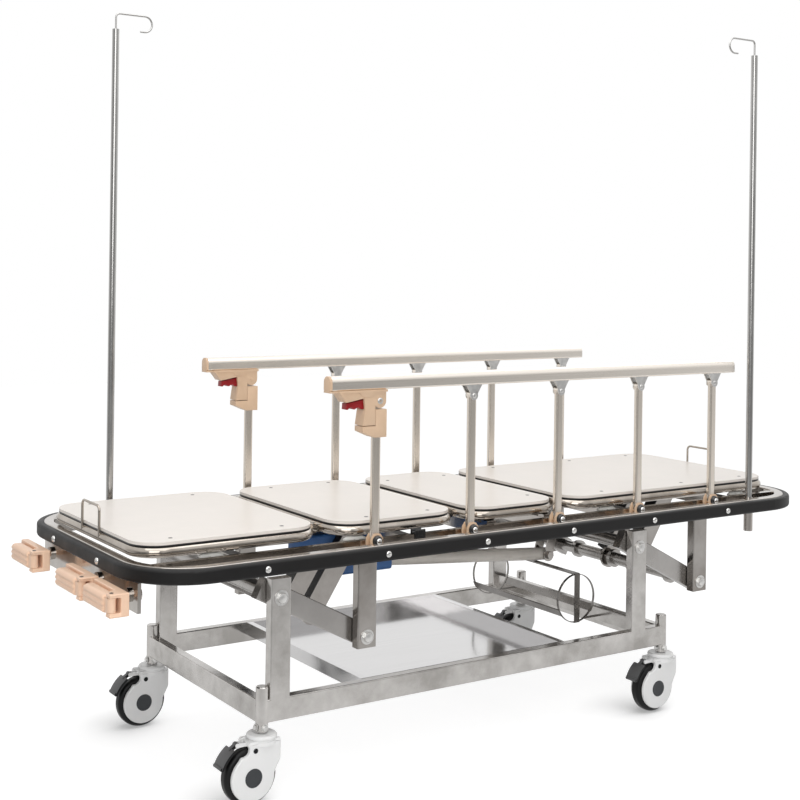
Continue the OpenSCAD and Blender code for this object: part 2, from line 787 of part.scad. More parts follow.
// Half-round section of the top bar, flat side down
module bar_section() {
  lift = bar_h / 2 - bar_w / 2;
  translate([0, lift]) circle(r = bar_w / 2);
  translate([-bar_w / 2, 4 - bar_h / 2]) square([bar_w, lift + bar_h / 2 - 4]);
  translate([4 - bar_w / 2, -bar_h / 2]) square([bar_w - 8, 8]);
  for (s = [-1, 1]) translate([s * (bar_w / 2 - 4), 4 - bar_h / 2]) circle(r = 4);
}

module rail_bar() {
  end_x = first_post_x + 4 * post_pitch + 73;
  under = bar_z - bar_h / 2;
  color("tan") {
    translate([first_post_x - 125, 0, bar_z]) rotate([90, 0, 90])
      linear_extrude(end_x - first_post_x + 125) bar_section();
    for (i = [1:4]) translate([first_post_x + i * post_pitch, 0, 0]) {
      box([-23, 23], [-post_t / 2 - 3.5, post_t / 2 + 3.5], [under - 2, under + 2]);
      for (y = [-post_t / 2 - 3.5, post_t / 2 + 0.5]) side_shape([y, y + 3]) {
        polygon([[-23, under], [23, under], [9, post_top_z + 2], [-9, post_top_z + 2]]);
        translate([0, post_top_z]) circle(r = 11);
      }
      rod_y(0, [-post_t / 2 - 5, post_t / 2 + 5], post_top_z, rail_pin_d / 2);
    }
  }
}

// Moulded latch under the bar's foot end: lip, half-round boss, leg and end cap
module latch() {
  flange = bar_z - bar_h / 2;
  leg_z = post_top_z - 54;
  color("burlywood") translate([first_post_x, 0, 0]) difference() {
    union() {
      side_shape([-latch_half, latch_half]) {
        polygon([[-112, flange], [16, flange], [16, post_top_z], [-13, post_top_z], [-13, leg_z],
          [-46, leg_z], [-40, flange - 40], [-43, flange - 18], [-90, flange - 26],
          [-107, flange - 5]]);
        translate([0, post_top_z]) circle(r = 16);
      }
      box([-100, 19], [-latch_half - 2, latch_half + 2], [flange - 5, flange]);
      side_shape([-latch_half - 2, latch_half + 2]) difference() {
        translate([-35, flange + 11.5]) circle(r = 27.5);
        translate([-70, flange - 4]) square([70, 50]);
      }
      translate([-131, 0, bar_z]) rotate([90, 0, 90]) linear_extrude(6) bar_section();
      translate([-131, 0, 0]) box([0, 30], [-bar_w / 2, bar_w / 2], [flange - 4, flange]);
    }
    box([-16, 21], [-post_t / 2 - 0.5, post_t / 2 + 0.5], [post_top_z - 18, flange - 1]);
    box([-87, -21], [-10.5, 10.5], [trigger_z - 17.5, flange - 10]);
  }
  color("burlywood") {
    rod_y(first_post_x, [-latch_half - 2, latch_half + 2], post_top_z, rail_pin_d / 2);
    rod_y(trigger_x, [-12, 12], trigger_z, trigger_pin_d / 2);
  }
}

// Trigger with finger waves along its lower edge
module trigger() {
  color("firebrick") translate([trigger_x, 0, trigger_z]) difference() {
    union() {
      side_shape([-10, 10]) polygon([[-54, -2], [-1, 6], [-1, -6], [-4, -16], [-55, -16]]);
      rod_y(0, [-10, 10], 0, 7);
    }
    for (x = [-43, -24]) rod_y(x, [-11, 11], -20, 8);
    rod_y(0, [-11, 11], 0, trigger_pin_d / 2 + run);
  }
}

// Sleeve on the first post that nests under the latch's leg
module catch_sleeve() {
  top = post_top_z - 19;
  low = post_top_z - 82;
  color("burlywood") translate([first_post_x, 0, 0]) difference() {
    side_shape([-latch_half, latch_half]) difference() {
      polygon([[-12, top], [18, top], [18, low], [-14, low], [-46, low + 14], [-46, low + 26],
        [-12, low + 26]]);
      translate([-20, low - 8]) circle(r = 10);
    }
    tube_z([-post_w / 2, post_w / 2], [-post_t / 2, post_t / 2], [low - 2, post_top_z], post_round);
  }
}

module rail_post(i) {
  color("lightgray") translate([first_post_x + i * post_pitch, 0, 0]) difference() {
    union() {
      tube_z([-post_w / 2, post_w / 2], [-post_t / 2, post_t / 2], [rail_pivot_z, post_top_z],
        post_round);
      for (z = [rail_pivot_z, post_top_z]) rod_y(0, [-post_t / 2, post_t / 2], z, post_w / 2);
    }
    for (z = [rail_pivot_z, post_top_z]) rod_y(0, [-post_t, post_t], z, rail_pin_d / 2 + run);
  }
}

// Clevis feet under the rail posts, each with a domed nut on its pin
module rail_feet() {
  front = -post_t / 2 - 5.5;
  color("burlywood") for (far = [false, true], i = [0:4])
    rail_side(far) translate([first_post_x + i * post_pitch, 0, 0]) {
      for (y = [[front, -post_t / 2 - 0.5], [post_t / 2 + 0.5, foot_back]]) {
        side_shape(y) polygon([[-16, deck_z + 2], [16, deck_z + 2], [16, rail_pivot_z + 5],
          [9, rail_pivot_z + 15], [-9, rail_pivot_z + 15], [-16, rail_pivot_z + 5]]);
      }
      box([-21, 21], [front, foot_back], [deck_z + 2, rail_pivot_z - 20]);
      box([-16, 16], [front, foot_back], [deck_z + 2, rail_pivot_z - 13]);
      rod_y(0, [front - 3, post_t / 2 + 2], rail_pivot_z, rail_pin_d / 2);
      translate([0, front, rail_pivot_z]) rotate([90, 0, 0]) rotate_extrude() intersection() {
        circle(r = 12.5);
        square([12.5, 8]);
      }
    }
}

// Quarter bend of wire in the X-Z plane, starting at angle a round its middle
module wire_bend(x, z, bend, wire, a) {
  translate([x, 0, z]) rotate([90, 0, 0]) rotate([0, 0, a]) rotate_extrude(angle = 90)
    translate([bend, 0]) circle(r = wire);
}

// Drip pole with one curled wire hook pointing to the deck's middle
module drip_pole(s) {
  wire = 2.5;
  hook_r = 20;
  bend = 10;
  reach = 78;
  top = pole_top + 40;
  color("silver") translate([deck_middle - s * pole_x, s * pole_y, 0]) {
    rod_z(0, 0, [deck_z - 48, pole_top], pole_d / 2);
    mirror([s > 0 ? 0 : 1, 0, 0]) {
      rod_z(0, 0, [pole_top - 5, top - bend], wire);
      wire_bend(bend, top - bend, bend, wire, 90);
      rod_x([bend, reach], 0, top, wire);
      wire_bend(reach, top - hook_r, hook_r, wire, 0);
      wire_bend(reach, top - hook_r, hook_r, wire, 270);
      rod_x([reach - 12, reach], 0, top - 2 * hook_r, wire);
    }
  }
}

base_frame();
base_tray();
bottle_holder();
caster_at(0) fork();  // fork_1
caster_at(1) fork();  // fork_2
caster_at(2) fork();  // fork_3
caster_at(3) fork();  // fork_4
caster_at(0) wheel();  // wheel_1
caster_at(1) wheel();  // wheel_2
caster_at(2) wheel();  // wheel_3
caster_at(3) wheel();  // wheel_4
caster_at(0) brake();  // brake_1
caster_at(1) brake();  // brake_2
caster_at(2) brake();  // brake_3
caster_at(3) brake();  // brake_4
lift_arms(0);  // arm_foot
lift_arms(1);  // arm_head
deck_frame();
hangers();
bumper();
bumper_screws();
rest_pads();
crank_plate();
crank(crank_back_y);  // crank_back
crank(crank_lift_y);  // crank_lift
crank(crank_knee_y);  // crank_knee
grip(crank_back_y);  // grip_back
grip(crank_lift_y);  // grip_lift
grip(crank_knee_y);  // grip_knee
drive_tube();
drive_cover();
calf_frame();
calf_board();
thigh_frame();
thigh_board();
seat_frame();
seat_board();
back_frame();
back_board();
rail_side(false) rail_bar();  // rail_near
rail_side(false) latch();  // latch_near
rail_side(false) trigger();  // trigger_near
rail_side(false) catch_sleeve();  // catch_near
rail_side(false) rail_post(0);  // post_near_1
rail_side(false) rail_post(1);  // post_near_2
rail_side(false) rail_post(2);  // post_near_3
rail_side(false) rail_post(3);  // post_near_4
rail_side(false) rail_post(4);  // post_near_5
rail_side(true) rail_bar();  // rail_far
rail_side(true) latch();  // latch_far
rail_side(true) trigger();  // trigger_far
rail_side(true) catch_sleeve();  // catch_far
rail_side(true) rail_post(0);  // post_far_1
rail_side(true) rail_post(1);  // post_far_2
rail_side(true) rail_post(2);  // post_far_3
rail_side(true) rail_post(3);  // post_far_4
rail_side(true) rail_post(4);  // post_far_5
rail_feet();
drip_pole(-1);  // pole_near
drip_pole(1);  // pole_far
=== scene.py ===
import json
import math

import bmesh
import bpy
from mathutils import Matrix, Vector


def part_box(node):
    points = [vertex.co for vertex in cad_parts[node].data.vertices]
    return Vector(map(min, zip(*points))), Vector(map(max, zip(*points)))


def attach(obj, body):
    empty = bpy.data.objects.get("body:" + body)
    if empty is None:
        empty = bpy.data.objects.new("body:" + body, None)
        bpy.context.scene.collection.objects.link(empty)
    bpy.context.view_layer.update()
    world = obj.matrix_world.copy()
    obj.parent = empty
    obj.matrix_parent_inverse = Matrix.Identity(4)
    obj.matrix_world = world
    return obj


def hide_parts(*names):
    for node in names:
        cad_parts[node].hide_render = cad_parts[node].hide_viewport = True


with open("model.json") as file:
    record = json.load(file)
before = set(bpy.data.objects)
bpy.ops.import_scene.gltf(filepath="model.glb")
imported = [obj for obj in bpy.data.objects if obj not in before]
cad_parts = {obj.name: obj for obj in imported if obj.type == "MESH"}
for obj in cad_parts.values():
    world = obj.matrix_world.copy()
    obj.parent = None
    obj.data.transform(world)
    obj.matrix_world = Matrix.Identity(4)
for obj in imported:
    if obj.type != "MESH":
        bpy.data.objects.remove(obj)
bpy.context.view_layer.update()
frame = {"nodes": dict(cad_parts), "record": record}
nodes = frame["nodes"]
body_of = {name: body for body, names in frame["record"]["behaviour"]["bodies"].items()
           for name in names}


# Base: a welded ring of rectangular stainless tube with four upright posts.
# The tube is bought polished, and handling leaves it cloudy and a little wavy,
# so it mirrors its surroundings in soft patches.

def linear(red, green, blue):
    """Colour as seen on screen, 0 to 255, turned into the light it reflects."""
    values = [c / 255 for c in (red, green, blue)]
    return [c / 12.92 if c < 0.04045 else ((c + 0.055) / 1.055) ** 2.4 for c in values] + [1]


def shared_effect(name, inputs, outputs):
    """Empty shader group with named float, colour and vector sockets."""
    kinds = {"f": "NodeSocketFloat", "c": "NodeSocketColor", "v": "NodeSocketVector"}
    group = bpy.data.node_groups.new(name, "ShaderNodeTree")
    for label, kind in inputs:
        group.interface.new_socket(label, in_out="INPUT", socket_type=kinds[kind])
    for label, kind in outputs:
        group.interface.new_socket(label, in_out="OUTPUT", socket_type=kinds[kind])
    given = group.nodes.new("NodeGroupInput").outputs
    return group, given, group.nodes.new("NodeGroupOutput").inputs


def feed(tree, socket, value):
    """Sets a socket to a number or colour, or links another socket to it."""
    if isinstance(value, bpy.types.NodeSocket):
        tree.links.new(value, socket)
    else:
        socket.default_value = value


def noise_in(tree, vector, scale, detail=4.0, roughness=0.55):
    """Noise texture fed by a vector socket, its scale a number or a socket."""
    texture = tree.nodes.new("ShaderNodeTexNoise")
    texture.inputs["Detail"].default_value = detail
    texture.inputs["Roughness"].default_value = roughness
    tree.links.new(vector, texture.inputs["Vector"])
    feed(tree, texture.inputs["Scale"], scale)
    return texture.outputs["Fac"]


def spread(tree, value, low, high, to_low, to_high):
    """Maps a value from one range to another; the target may be sockets."""
    ramp = tree.nodes.new("ShaderNodeMapRange")
    tree.links.new(value, ramp.inputs["Value"])
    ramp.inputs["From Min"].default_value = low
    ramp.inputs["From Max"].default_value = high
    feed(tree, ramp.inputs["To Min"], to_low)
    feed(tree, ramp.inputs["To Max"], to_high)
    return ramp.outputs["Result"]


def mixed(tree, factor, first, second):
    """Blend of two colours, each a socket or four numbers."""
    mix = tree.nodes.new("ShaderNodeMix")
    mix.data_type = "RGBA"
    tree.links.new(factor, mix.inputs["Factor"])
    first_colour, second_colour, blended = 6, 7, 2
    feed(tree, mix.inputs[first_colour], first)
    feed(tree, mix.inputs[second_colour], second)
    return mix.outputs[blended]


def tinted(group, value, low, high, given):
    """Colour that goes from a group's dark to its light as a value rises."""
    return mixed(group, spread(group, value, low, high, 0, 1), given["Dark"], given["Light"])


def glossed(group, value, given):
    """Roughness between a group's two limits, following a value."""
    return spread(group, value, 0.3, 0.7, given["Gloss low"], given["Gloss high"])


# Cloudy polish: broad soft patches in colour and gloss, with a slow waviness.
cloudy, given, result = shared_effect(
    "cloudy_polish",
    [("Vector", "v"), ("Patch scale", "f"), ("Light", "c"), ("Dark", "c"),
     ("Gloss low", "f"), ("Gloss high", "f")],
    [("Color", "c"), ("Roughness", "f"), ("Height", "f")])
patches = noise_in(cloudy, given["Vector"], given["Patch scale"], 5.0, 0.6)
cloudy.links.new(tinted(cloudy, patches, 0.35, 0.65, given), result["Color"])
cloudy.links.new(glossed(cloudy, patches, given), result["Roughness"])
cloudy.links.new(noise_in(cloudy, given["Vector"], 14.0, 2.0), result["Height"])


def blank_material(name, metallic=0.0, coat=0.0):
    """New material with its own shader; returns its tree, shader and coordinates."""
    material = bpy.data.materials.new(name)
    material.use_nodes = True
    tree = material.node_tree
    shader = tree.nodes["Principled BSDF"]
    shader.inputs["Metallic"].default_value = metallic
    shader.inputs["Coat Weight"].default_value = coat
    shader.inputs["Coat Roughness"].default_value = 0.12
    place = tree.nodes.new("ShaderNodeTexCoord").outputs["Object"]
    return material, tree, shader, place


def bumped(tree, shader, height, strength, distance):
    """Feeds a height into the shader's normal."""
    bump = tree.nodes.new("ShaderNodeBump")
    bump.inputs["Strength"].default_value = strength
    bump.inputs["Distance"].default_value = distance
    tree.links.new(height, bump.inputs["Height"])
    tree.links.new(bump.outputs["Normal"], shader.inputs["Normal"])


def placed(tree, group, place, **values):
    """Puts a shared effect into a material with its own values."""
    effect = tree.nodes.new("ShaderNodeGroup")
    effect.node_tree = group
    tree.links.new(place, effect.inputs["Vector"])
    for label, value in values.items():
        effect.inputs[label.replace("_", " ")].default_value = value
    return effect.outputs


def polished_steel(name, light, dark, patch, gloss, wave=0.1):
    """Stainless steel: mirror-like, clouded in patches."""
    material, tree, shader, place = blank_material(name, metallic=1.0)
    out = placed(tree, cloudy, place, Patch_scale=patch, Light=linear(*light), Dark=linear(*dark),
                 Gloss_low=gloss[0], Gloss_high=gloss[1])
    tree.links.new(out["Color"], shader.inputs["Base Color"])
    tree.links.new(out["Roughness"], shader.inputs["Roughness"])
    bumped(tree, shader, out["Height"], wave, 0.004)
    return material


def dress(material, *names):
    """Gives carried-over CAD pieces their material."""
    for name in names:
        nodes[name].data.materials.clear()
        nodes[name].data.materials.append(material)


base_steel = polished_steel("base_steel", (207, 204, 201), (166, 163, 159), 9.0, (0.11, 0.29), 0.12)
dress(base_steel, "base_frame")
holder_steel = polished_steel("holder_steel", (150, 147, 144), (122, 119, 116), 8.0, (0.2, 0.32))
dress(holder_steel, "bottle_holder")


# Set bolts: small hexagon bolts through each stem sleeve clamp the caster.
# Turned steel, bright, each on a thin washer.

stems = {1: (-0.661, -0.287), 2: (-0.661, 0.287), 3: (0.539, -0.287), 4: (0.539, 0.287)}
sleeve_radius, set_bolt_z = 0.0138, 0.161


def as_object(name, data):
    """Object that holds a mesh or curve, linked into the scene."""
    made = bpy.data.objects.new(name, data)
    bpy.context.scene.collection.objects.link(made)
    return made


def mesh_of(shape, name):
    """Plain mesh of a finished shape, which is then freed."""
    mesh = bpy.data.meshes.new(name)
    shape.to_mesh(mesh)
    shape.free()
    return mesh


def baked(source, name):
    """Mesh that an object's modifiers or curve give; the object itself goes."""
    bpy.context.view_layer.update()
    graph = bpy.context.evaluated_depsgraph_get()
    mesh = bpy.data.meshes.new_from_object(source.evaluated_get(graph))
    bpy.data.objects.remove(source)
    mesh.name = name
    return mesh


def smoothed(mesh, degrees):
    """Smooth shading, with edges sharper than the angle kept crisp."""
    mesh.shade_smooth()
    mesh.set_sharp_from_angle(angle=math.radians(degrees))


def ring(shape, count, level, reach):
    """Closed row of points at one level, each as far out as its angle says."""
    row = []
    for k in range(count):
        angle = math.tau * k / count
        out = reach(angle)
        row.append(shape.verts.new((out * math.cos(angle), out * math.sin(angle), level)))
    return row


def lofted(shape, rows):
    """Walls between closed rows of points, with both ends capped."""
    for lower, upper in zip(rows, rows[1:]):
        for k in range(len(lower)):
            after = (k + 1) % len(lower)
            shape.faces.new((lower[k], lower[after], upper[after], upper[k]))
    shape.faces.new(rows[-1])
    shape.faces.new(list(reversed(rows[0])))


def hexagon_side(angle):
    """How far out a hexagon's side lies at an angle, for one unit to the middle of a side."""
    return 1 / math.cos(angle % (math.pi / 3) - math.pi / 6)


def hexagon_head(name, across, rise):
    """Hexagon bolt head with chamfered corners on a round washer, standing on z = 0."""
    shape = bmesh.new()
    rows = [ring(shape, 24, level, lambda angle: across * 0.8) for level in (0, rise * 0.2)]
    for share, level in ((1.0, 0.2), (1.0, 0.85), (0.84, 1.0)):
        rows.append(ring(shape, 24, rise * level,
                         lambda angle: min(across / 2 * hexagon_side(angle), across * 0.56) * share))
    lofted(shape, rows)
    return as_object(name, mesh_of(shape, name))


# One tree sets a head on every marked point, turned to face the way it is told.
fastener_rows = bpy.data.node_groups.new("fastener_rows", "GeometryNodeTree")
for label, kind in (("Points", "NodeSocketGeometry"), ("Head", "NodeSocketObject"),
                    ("Size", "NodeSocketFloat"), ("Finish", "NodeSocketMaterial")):
    fastener_rows.interface.new_socket(label, in_out="INPUT", socket_type=kind)
fastener_rows.interface.new_socket("Heads", in_out="OUTPUT", socket_type="NodeSocketGeometry")
make = fastener_rows.nodes.new
given = make("NodeGroupInput")
facing = make("GeometryNodeInputNamedAttribute")
facing.data_type = "FLOAT_VECTOR"
facing.inputs["Name"].default_value = "facing"
turned = make("FunctionNodeAlignRotationToVector")
turned.axis = "Z"
head = make("GeometryNodeObjectInfo")
copies = make("GeometryNodeInstanceOnPoints")
solid = make("GeometryNodeRealizeInstances")
painted = make("GeometryNodeSetMaterial")
result = make("NodeGroupOutput")
join = fastener_rows.links.new
join(given.outputs["Points"], copies.inputs["Points"])
join(given.outputs["Head"], head.inputs["Object"])
join(head.outputs["Geometry"], copies.inputs["Instance"])
join(facing.outputs["Attribute"], turned.inputs["Vector"])
join(turned.outputs["Rotation"], copies.inputs["Rotation"])
join(given.outputs["Size"], copies.inputs["Scale"])
join(copies.outputs["Instances"], solid.inputs["Geometry"])
join(solid.outputs["Geometry"], painted.inputs["Geometry"])
join(given.outputs["Finish"], painted.inputs["Material"])
join(painted.outputs["Geometry"], result.inputs["Heads"])


def fasten(name, pattern, spots, material, body):
    """Sets the pattern on each (point, direction) and rides it on a body."""
    marks = bpy.data.meshes.new(name + "_marks")
    marks.from_pydata([spot for spot, _ in spots], [], [])
    way = marks.attributes.new("facing", "FLOAT_VECTOR", "POINT")
    for item, (_, direction) in zip(way.data, spots):
        item.vector = direction
    carrier = as_object(name + "_marks", marks)
    modifier = carrier.modifiers.new("rows", "NODES")
    modifier.node_group = fastener_rows
    sockets = {s.name: s.identifier for s in fastener_rows.interface.items_tree
               if s.in_out == "INPUT"}
    modifier[sockets["Head"]] = pattern
    modifier[sockets["Size"]] = 1.0
    modifier[sockets["Finish"]] = material
    mesh = baked(carrier, name)
    smoothed(mesh, 40)
    piece = as_object(name, mesh)
    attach(piece, body)
    return piece


bright_steel = polished_steel("bright_steel", (226, 225, 223), (204, 203, 201), 60.0, (0.26, 0.4))
stem_bolt = hexagon_head("stem_bolt_pattern", 0.011, 0.005)
stem_spots = [((x + sleeve_radius * way[0], y + sleeve_radius * way[1], set_bolt_z), way)
              for x, y in stems.values() for way in ((-1, 0, 0), (0, -1, 0), (0, 1, 0))]
fasten("stem_bolts", stem_bolt, stem_spots, bright_steel, "base")


# Tray: one folded stainless sheet with turned-up walls, welded between the
# side tubes. Its floor keeps the mill's polish and mirrors what stands over it.

# Drawn grain: fine lines along one direction, as rolling and extruding leave.
grain, given, result = shared_effect(
    "drawn_grain", [("Vector", "v"), ("Stretch", "v"), ("Light", "c"), ("Dark", "c")],
    [("Color", "c"), ("Height", "f")])
stretched = grain.nodes.new("ShaderNodeVectorMath")
stretched.operation = "MULTIPLY"
grain.links.new(given["Vector"], stretched.inputs[0])
grain.links.new(given["Stretch"], stretched.inputs[1])
lines = noise_in(grain, stretched.outputs["Vector"], 1.0, 3.0, 0.7)
grain.links.new(tinted(grain, lines, 0.3, 0.7, given), result["Color"])
grain.links.new(lines, result["Height"])


def drawn_metal(name, stretch, light, dark, gloss, relief, depth):
    """Rolled or extruded metal with its lines along the short stretch."""
    material, tree, shader, place = blank_material(name, metallic=1.0)
    out = placed(tree, grain, place, Stretch=stretch, Light=linear(*light), Dark=linear(*dark))
    tree.links.new(out["Color"], shader.inputs["Base Color"])
    shader.inputs["Roughness"].default_value = gloss
    bumped(tree, shader, out["Height"], relief, depth)
    return material


tray_sheet = drawn_metal("tray_sheet", (3, 420, 420), (216, 215, 215), (206, 205, 205),
                         0.13, 0.03, 0.0006)
dress(tray_sheet, "base_tray")


# Casters: white moulded twin-shell forks over black tyres, held by a swivel pin
# in the stem. A plain dark disc covers the axle, one bolt clamps the shells, and
# the brake's pedal is grey with black sides.

# Moulded skin: the faint orange peel of injection moulding, with slight shade.
skin, given, result = shared_effect(
    "moulded_skin",
    [("Vector", "v"), ("Peel scale", "f"), ("Light", "c"), ("Dark", "c"),
     ("Gloss low", "f"), ("Gloss high", "f")],
    [("Color", "c"), ("Roughness", "f"), ("Height", "f")])
peel = noise_in(skin, given["Vector"], given["Peel scale"], 2.0)
shade = noise_in(skin, given["Vector"], 16.0, 4.0, 0.65)
skin.links.new(tinted(skin, shade, 0.3, 0.7, given), result["Color"])
skin.links.new(glossed(skin, shade, given), result["Roughness"])
skin.links.new(peel, result["Height"])


def moulded(name, light, dark, gloss, peel, coat=0.0, strength=0.08):
    """Injection moulded plastic or rubber."""
    material, tree, shader, place = blank_material(name, coat=coat)
    out = placed(tree, skin, place, Peel_scale=peel, Light=linear(*light), Dark=linear(*dark),
                 Gloss_low=gloss[0], Gloss_high=gloss[1])
    tree.links.new(out["Color"], shader.inputs["Base Color"])
    tree.links.new(out["Roughness"], shader.inputs["Roughness"])
    bumped(tree, shader, out["Height"], strength, 0.0006)
    return material


def dulled(material, level):
    """Takes the sheen of black rubber down."""
    shader = material.node_tree.nodes["Principled BSDF"]
    shader.inputs["Specular IOR Level"].default_value = level


def rounded(name, width, material, segments=3, melt=0):
    """Copy of a CAD piece with its edges eased, or melted soft all over, standing in for it."""
    shape = bmesh.new()
    shape.from_mesh(nodes[name].data)
    bmesh.ops.remove_doubles(shape, verts=shape.verts, dist=2e-6)
    bmesh.ops.dissolve_limit(shape, angle_limit=math.radians(1.0),
                             verts=shape.verts, edges=shape.edges)
    rough = as_object(name + "_rough", mesh_of(shape, name + "_rough"))
    if melt:
        skinned = rough.modifiers.new("skin", "REMESH")
        skinned.mode = "VOXEL"
        skinned.voxel_size = width
        rough.modifiers.new("ease", "SMOOTH").iterations = melt
    else:
        ease = rough.modifiers.new("ease", "BEVEL")
        ease.width = width
        ease.segments = segments
        ease.limit_method = "ANGLE"
        ease.angle_limit = math.radians(35)
    mesh = baked(rough, name + "_moulded")
    mesh.materials.clear()
    mesh.materials.append(material)
    smoothed(mesh, 32)
    piece = as_object(name + "_moulded", mesh)
    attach(piece, body_of[name])
    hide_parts(name)
    return piece


def disc(name, spots, radius, rise, dish, material, body):
    """Thin round covers with an eased rim, set on points facing given ways."""
    shape = bmesh.new()
    lofted(shape, [ring(shape, 48, rise * level, lambda angle: radius * share)
                   for share, level in ((1.0, 0.0), (1.0, 0.6), (0.95, 0.9), (0.88, 1.0),
                                        (0.82, 1.0 - dish), (0.4, 1.0 - dish))])
    pattern = as_object(name + "_pattern", mesh_of(shape, name + "_pattern"))
    fasten(name, pattern, spots, material, body)
    bpy.data.objects.remove(pattern)


def finished(shape, name, material, body, degrees=0):
    """Piece from a closed shape with one finish, riding on a body."""
    bmesh.ops.recalc_face_normals(shape, faces=shape.faces)
    mesh = mesh_of(shape, name)
    mesh.materials.append(material)
    if degrees:
        smoothed(mesh, degrees)
    piece = as_object(name, mesh)
    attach(piece, body)
    return piece


def arc(centre_x, centre_y, radius, degrees):
    """Points of a circle at the given angles."""
    return [(centre_x + radius * math.cos(math.radians(a)),
             centre_y + radius * math.sin(math.radians(a))) for a in degrees]


def cheek_outline():
    """Side of a fork shell about its stem: neck, lobe round the wheel and notch for the pedal."""
    front, back, neck_top = 0.0352, -0.0405, 0.137
    corners = [(front, neck_top), (front, 0.094), (0.0256, 0.076)]
    corners += arc(-0.031, 0.0625, 0.0518, range(8, -233, -6))
    corners += arc(-0.0546, 0.123, 0.0143, range(-112, -5, 8))
    corners += [(back, 0.130), (back, neck_top)]
    step, smoothing = 0.0016, 6
    loop = []
    for (x, z), (after_x, after_z) in zip(corners, corners[1:] + corners[:1]):
        parts = max(1, round(math.hypot(after_x - x, after_z - z) / step))
        loop += [Vector((x + (after_x - x) * k / parts, z + (after_z - z) * k / parts))
                 for k in range(parts)]
    for _ in range(smoothing):
        loop = [(loop[k - 1] + 2 * loop[k] + loop[(k + 1) % len(loop)]) / 4
                for k in range(len(loop))]
    return loop


def fork_cheeks(index, stem_x, stem_y):
    """The two smooth outer shells of a fork, eased all round."""
    loop = cheek_outline()
    outward = []
    for k in range(len(loop)):
        run = loop[(k + 1) % len(loop)] - loop[k - 1]
        outward.append(Vector((-run.y, run.x)).normalized())
    inner, rim, ease, proud = 0.0168, 0.0206, 0.0042, 0.0003
    profile = [(inner, proud), (rim, proud)] + arc(rim, proud - ease, ease, range(75, -1, -15))
    shape = bmesh.new()
    for way in (-1, 1):
        rows = []
        for depth, grow in profile:
            spots = [point + grow * normal for point, normal in zip(loop, outward)]
            rows.append([shape.verts.new((stem_x + spot.x, stem_y + way * depth, spot.y))
                         for spot in spots])
        lofted(shape, rows)
    finished(shape, "fork_cheeks_%d" % index, caster_white, "caster_%d" % index,
             40)


caster_white = moulded("caster_white", (239, 239, 239), (236, 236, 235), (0.2, 0.26), 700.0,
                       0.15, 0.03)
caster_grey = moulded("caster_grey", (54, 56, 59), (44, 46, 49), (0.36, 0.48), 900.0)
tyre_black = moulded("tyre_black", (17, 17, 18), (12, 12, 13), (0.32, 0.46), 500.0, 0.0, 0.16)
dulled(tyre_black, 0.25)
pedal_grey = moulded("pedal_grey", (92, 92, 93), (80, 80, 81), (0.38, 0.5), 700.0)
cheek_face, shell_bolt_x, shell_bolt_z = 0.0247, -0.027, 0.120

for index, (stem_x, _) in stems.items():
    caster, tyre = "caster_%d" % index, "wheel_%d" % index
    dress(caster_white, "fork_%d" % index)
    dress(tyre_black, tyre)
    pedal = rounded("brake_%d" % index, 0.0012, pedal_grey)
    pedal.data.materials.append(tyre_black)
    for face in pedal.data.polygons:
        if abs(face.normal.y) > 0.6:
            face.material_index = 1
    low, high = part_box(tyre)
    axle = (low + high) / 2
    fork_cheeks(index, stem_x, axle.y)
    for name, x, z, radius, rise, dish, material in (
            ("axle_covers_%d", axle.x, axle.z, 0.0205, 0.0010, 0.35, caster_grey),
            ("shell_bolts_%d", stem_x + shell_bolt_x, shell_bolt_z, 0.0056, 0.0008, 0.5, tyre_black)):
        spots = [((x, axle.y + way * cheek_face, z), (0, way, 0)) for way in (-1, 1)]
        disc(name % index, spots, radius, rise, dish, material, caster)


# Lift arms: pairs of flat stainless tube welded to cross shafts. They swing on
# bolts in the posts and carry the deck's hangers at their other ends.

arm_steel = polished_steel("arm_steel", (184, 181, 178), (160, 157, 154), 6.0, (0.2, 0.34))
dress(arm_steel, "arm_foot", "arm_head")
post_pivots = ((-0.623, 0.437), (0.447, 0.437))
hanger_pivots = ((-0.3993, 0.3210), (0.6707, 0.3210))
bolt_face = 0.2995
pivot_bolt = hexagon_head("pivot_bolt_pattern", 0.0214, 0.0086)
for label, body, pivots in (("posts", "base", post_pivots), ("hangers", "deck", hanger_pivots)):
    spots = [((x, way * bolt_face, z), (0, way, 0)) for x, z in pivots for way in (-1, 1)]
    fasten("pivot_bolts_" + label, pivot_bolt, spots, bright_steel, body)


# Deck: a bent ring of polished stainless tube with cross members, side bars and
# four hangers, all welded. Two sockets in the ring hold the drip poles.

deck_steel = polished_steel("deck_steel", (196, 191, 186), (166, 160, 154), 6.0, (0.08, 0.2))
dress(deck_steel, "deck_frame", "crank_plate")
# The hangers get a darker copy of the deck's steel: painted shade for their place below the deck.
shaded_hanger_steel = polished_steel("shaded_hanger_steel", (174, 170, 166), (144, 139, 134), 8.0, (0.1, 0.24))
dress(shaded_hanger_steel, "hangers")
